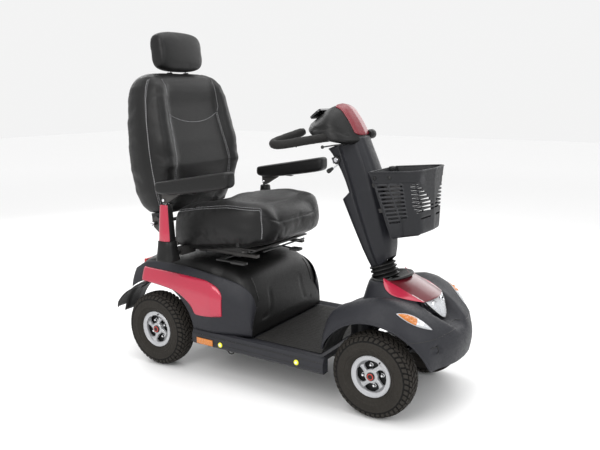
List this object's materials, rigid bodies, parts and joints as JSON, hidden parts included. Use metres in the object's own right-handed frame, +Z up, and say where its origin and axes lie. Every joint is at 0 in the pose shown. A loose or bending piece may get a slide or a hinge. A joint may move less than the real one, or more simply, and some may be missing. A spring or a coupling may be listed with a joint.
{
  "type": "mobility scooter",
  "caption": "Four-wheel mobility scooter with delta tiller, front basket, padded swivel seat with headrest and flip-up armrests, moulded body panels.",
  "frame": {"origin": "on the ground under the middle of the scooter's length and width", "axes": "+Z up; the scooter faces -Y; +X is the scooter's left side"},
  "size_m": [0.734, 1.4432, 1.3506],
  "materials": {
    "frame_paint": "satin black powder coat",
    "steel": "zinc-plated steel",
    "body_grey": "textured dark blue-grey moulded plastic",
    "body_black": "grained black moulded plastic",
    "red_paint": "glossy dark red metallic",
    "tyre": "black tread rubber",
    "alloy": "silver painted cast alloy",
    "vinyl": "black leatherette over foam, light stitching",
    "soft_rubber": "ribbed black rubber",
    "foam_grip": "black foam tube",
    "clear_lens": "clear faceted lens",
    "amber_lens": "amber and clear faceted lens",
    "chrome": "polished",
    "panel_black": "gloss black",
    "button_grey": "satin grey"
  },
  "bodies": {
    "chassis": {"main_frame": "frame_paint", "transaxle": "frame_paint", "battery_pack": "body_black", "floor_pan": "body_grey", "floor_mat": "soft_rubber", "rear_shroud": "body_black", "rear_panel_right": "body_grey", "rear_panel_left": "body_grey", "rear_trim_right": "red_paint", "rear_trim_left": "red_paint", "front_cowl": "body_grey", "bonnet": "body_grey", "bonnet_trim": "red_paint", "headlight": "clear_lens", "indicator_right": "amber_lens", "indicator_left": "amber_lens"},
    "steering_column": {"steering_shaft": "steel", "gaiter": "soft_rubber"},
    "tiller": {"tiller_tube": "frame_paint", "column_cover_front": "body_grey", "column_cover_rear": "body_grey", "console": "body_black", "console_trim": "red_paint", "control_panel": "panel_black", "handlebar": "foam_grip", "basket": "body_black"},
    "ignition_key": {"ignition_key": "chrome"},
    "speed_dial": {"speed_dial": "button_grey"},
    "indicator_button_right": {"indicator_button_right": "button_grey"},
    "indicator_button_left": {"indicator_button_left": "button_grey"},
    "horn_button": {"horn_button": "button_grey"},
    "drive_lever": {"drive_lever": "body_black"},
    "tilt_lever": {"tilt_lever": "body_black"},
    "knuckle_right": {"knuckle_right": "steel"},
    "knuckle_left": {"knuckle_left": "steel"},
    "track_rod": {"track_rod": "steel"},
    "wheel_front_right": {"tyre_front_right": "tyre", "rim_front_right": "alloy"},
    "wheel_front_left": {"tyre_front_left": "tyre", "rim_front_left": "alloy"},
    "wheel_rear_right": {"tyre_rear_right": "tyre", "rim_rear_right": "alloy"},
    "wheel_rear_left": {"tyre_rear_left": "tyre", "rim_rear_left": "alloy"},
    "seat_post": {"seat_post": "steel"},
    "swivel_base": {"swivel_base": "frame_paint"},
    "seat": {"seat_frame": "frame_paint", "seat_cushion": "vinyl"},
    "swivel_lever": {"swivel_lever": "body_black"},
    "slide_lever": {"slide_lever": "body_black"},
    "backrest": {"backrest_hinge": "frame_paint", "backrest_cushion": "vinyl"},
    "headrest": {"headrest": "vinyl"},
    "armrest_support_right": {"armrest_post_right": "body_black", "armrest_sleeve_right": "red_paint"},
    "armrest_support_left": {"armrest_post_left": "body_black", "armrest_sleeve_left": "red_paint"},
    "armrest_right": {"armrest_pad_right": "vinyl"},
    "armrest_left": {"armrest_pad_left": "vinyl"},
    "freewheel_lever": {"freewheel_lever": "red_paint"}
  },
  "joints": [
    {"name": "steering", "type": "hinge", "parent": "chassis", "child": "steering_column", "pos_m": [0, -0.38, 0.452], "axis": [0, 0.342, 0.9397], "range_deg": [-31, 31]},
    {"name": "tiller_tilt", "type": "hinge", "parent": "steering_column", "child": "tiller", "pos_m": [0, -0.38, 0.452], "axis": [-1, 0, 0], "range_deg": [-15, 0], "deforming": ["gaiter"]},
    {"name": "key_turn", "type": "hinge", "parent": "tiller", "child": "ignition_key", "pos_m": [-0.066, -0.20508, 0.85657], "axis": [1, 0, 0], "range_deg": [0, 60]},
    {"name": "speed_setting", "type": "hinge", "parent": "tiller", "child": "speed_dial", "pos_m": [0, -0.11369, 1.02611], "axis": [0, 0.6157, 0.788], "range_deg": [-135, 135]},
    {"name": "indicator_button_right_press", "type": "slide", "parent": "tiller", "child": "indicator_button_right", "axis": [0, -0.6157, -0.788], "range_m": [0, 0.0014], "stiffness_N_per_m": 250},
    {"name": "indicator_button_left_press", "type": "slide", "parent": "tiller", "child": "indicator_button_left", "axis": [0, -0.6157, -0.788], "range_m": [0, 0.0014], "stiffness_N_per_m": 250},
    {"name": "horn_button_press", "type": "slide", "parent": "tiller", "child": "horn_button", "axis": [0, -0.6157, -0.788], "range_m": [0, 0.0014], "stiffness_N_per_m": 250},
    {"name": "drive_lever_swing", "type": "hinge", "parent": "tiller", "child": "drive_lever", "pos_m": [0, -0.25, 0.917], "axis": [0, 0, 1], "range_deg": [-11, 11], "stiffness_Nm_per_rad": 1.2},
    {"name": "tilt_release", "type": "hinge", "parent": "tiller", "child": "tilt_lever", "pos_m": [-0.016, -0.19893, 0.83837], "axis": [1, 0, 0], "range_deg": [0, 10], "stiffness_Nm_per_rad": 0.6, "springref_deg": -8.59},
    {"name": "kingpin_right", "type": "hinge", "parent": "chassis", "child": "knuckle_right", "pos_m": [-0.16, -0.455, 0.152], "axis": [0, 0, 1], "range_deg": [-35, 35]},
    {"name": "kingpin_left", "type": "hinge", "parent": "chassis", "child": "knuckle_left", "pos_m": [0.16, -0.455, 0.152], "axis": [0, 0, 1], "range_deg": [-35, 35]},
    {"name": "track_rod_swing", "type": "hinge", "parent": "knuckle_right", "child": "track_rod", "pos_m": [-0.16, -0.385, 0.188], "axis": [0, 0, 1], "range_deg": [-35, 35]},
    {"name": "front_wheel_right_spin", "type": "hinge", "parent": "knuckle_right", "child": "wheel_front_right", "pos_m": [-0.223, -0.455, 0.152], "axis": [1, 0, 0], "continuous": true},
    {"name": "front_wheel_left_spin", "type": "hinge", "parent": "knuckle_left", "child": "wheel_front_left", "pos_m": [0.223, -0.455, 0.152], "axis": [1, 0, 0], "continuous": true},
    {"name": "rear_wheel_right_spin", "type": "hinge", "parent": "chassis", "child": "wheel_rear_right", "pos_m": [-0.2615, 0.495, 0.152], "axis": [1, 0, 0], "continuous": true},
    {"name": "rear_wheel_left_spin", "type": "hinge", "parent": "chassis", "child": "wheel_rear_left", "pos_m": [0.2615, 0.495, 0.152], "axis": [1, 0, 0], "continuous": true},
    {"name": "seat_height", "type": "slide", "parent": "chassis", "child": "seat_post", "axis": [0, 0, 1], "range_m": [0, 0.05]},
    {"name": "seat_swivel", "type": "hinge", "parent": "seat_post", "child": "swivel_base", "pos_m": [0, 0.255, 0.47], "axis": [0, 0, 1], "range_deg": [-90, 90]},
    {"name": "seat_reach", "type": "slide", "parent": "swivel_base", "child": "seat", "axis": [0, -1, 0], "range_m": [-0.04, 0.06]},
    {"name": "swivel_release", "type": "hinge", "parent": "swivel_base", "child": "swivel_lever", "pos_m": [-0.14, 0.215, 0.465], "axis": [0, 1, 0], "range_deg": [0, 7], "stiffness_Nm_per_rad": 1.5, "springref_deg": -5.73},
    {"name": "slide_release", "type": "hinge", "parent": "seat", "child": "slide_lever", "pos_m": [0, 0.06, 0.5], "axis": [1, 0, 0], "range_deg": [-8, 0], "stiffness_Nm_per_rad": 1, "springref_deg": 11.46},
    {"name": "backrest_recline", "type": "hinge", "parent": "seat", "child": "backrest", "pos_m": [0, 0.545, 0.575], "axis": [1, 0, 0], "range_deg": [-10, 18]},
    {"name": "headrest_height", "type": "slide", "parent": "backrest", "child": "headrest", "axis": [0, 0.1219, 0.9925], "range_m": [0, 0.05]},
    {"name": "armrest_right_width", "type": "slide", "parent": "seat", "child": "armrest_support_right", "axis": [1, 0, 0], "range_m": [-0.05, 0]},
    {"name": "armrest_right_lift", "type": "hinge", "parent": "armrest_support_right", "child": "armrest_right", "pos_m": [-0.327, 0.385, 0.698], "axis": [1, 0, 0], "range_deg": [-90, 0]},
    {"name": "armrest_left_width", "type": "slide", "parent": "seat", "child": "armrest_support_left", "axis": [1, 0, 0], "range_m": [0, 0.05]},
    {"name": "armrest_left_lift", "type": "hinge", "parent": "armrest_support_left", "child": "armrest_left", "pos_m": [0.327, 0.385, 0.698], "axis": [-1, 0, 0], "range_deg": [0, 90]},
    {"name": "freewheel_release", "type": "hinge", "parent": "chassis", "child": "freewheel_lever", "pos_m": [0.095, 0.6, 0.318], "axis": [1, 0, 0], "range_deg": [-30, 0]}
  ],
  "couplings": [
    {"joint": "kingpin_right", "follows": "steering", "ratio": 1.1286},
    {"joint": "kingpin_left", "follows": "steering", "ratio": 1.1286},
    {"joint": "track_rod_swing", "follows": "steering", "ratio": -1.1286}
  ]
}
